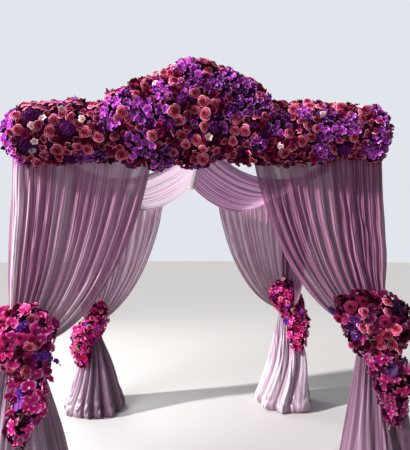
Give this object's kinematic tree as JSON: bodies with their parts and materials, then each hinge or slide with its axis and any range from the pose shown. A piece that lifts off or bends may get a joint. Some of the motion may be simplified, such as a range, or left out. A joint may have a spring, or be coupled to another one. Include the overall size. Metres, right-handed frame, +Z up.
{
  "type": "four-post floral wedding canopy with tied drapes",
  "caption": "Square four-post wedding canopy with a flower garland on the front beam, a swagged ceiling, tied-back sheer curtains, flared tails and bouquets.",
  "frame": {"origin": "on the floor at the middle of the square of posts", "axes": "+Z up, -Y towards the front with the garland, +X to the right of someone facing the front"},
  "size_m": [3.1922, 3.196, 3.2104],
  "materials": {
    "steel": "satin white paint",
    "plate": "matt black paint",
    "drape": "sheer mauve voile",
    "ribbon": "mauve satin",
    "blooms": "petals in pink, magenta, violet and burgundy"
  },
  "bodies": {
    "root": {"base_plate_front_left": "plate", "base_plate_front_right": "plate", "base_plate_rear_left": "plate", "base_plate_rear_right": "plate", "post_front_left": "steel", "post_front_right": "steel", "post_rear_left": "steel", "post_rear_right": "steel", "corner_fitting_front_left": "steel", "corner_fitting_front_right": "steel", "corner_fitting_rear_left": "steel", "corner_fitting_rear_right": "steel", "beam_front": "steel", "beam_right": "steel", "beam_rear": "steel", "beam_left": "steel", "rafter_centre": "steel", "curtain_front_left": "drape", "curtain_front_right": "drape", "curtain_right_front": "drape", "curtain_right_rear": "drape", "curtain_rear_right": "drape", "curtain_rear_left": "drape", "curtain_left_rear": "drape", "curtain_left_front": "drape", "tail_front_left": "drape", "tail_front_right": "drape", "tail_rear_left": "drape", "tail_rear_right": "drape", "ceiling_left": "drape", "ceiling_right": "drape", "tie_band_front_left": "ribbon", "tie_band_front_right": "ribbon", "tie_band_rear_left": "ribbon", "tie_band_rear_right": "ribbon", "garland_left": "blooms", "garland_crest": "blooms", "garland_right": "blooms", "bouquet_front_left": "blooms", "bouquet_front_right": "blooms", "bouquet_rear_left": "blooms", "bouquet_rear_right": "blooms"}
  },
  "joints": []
}
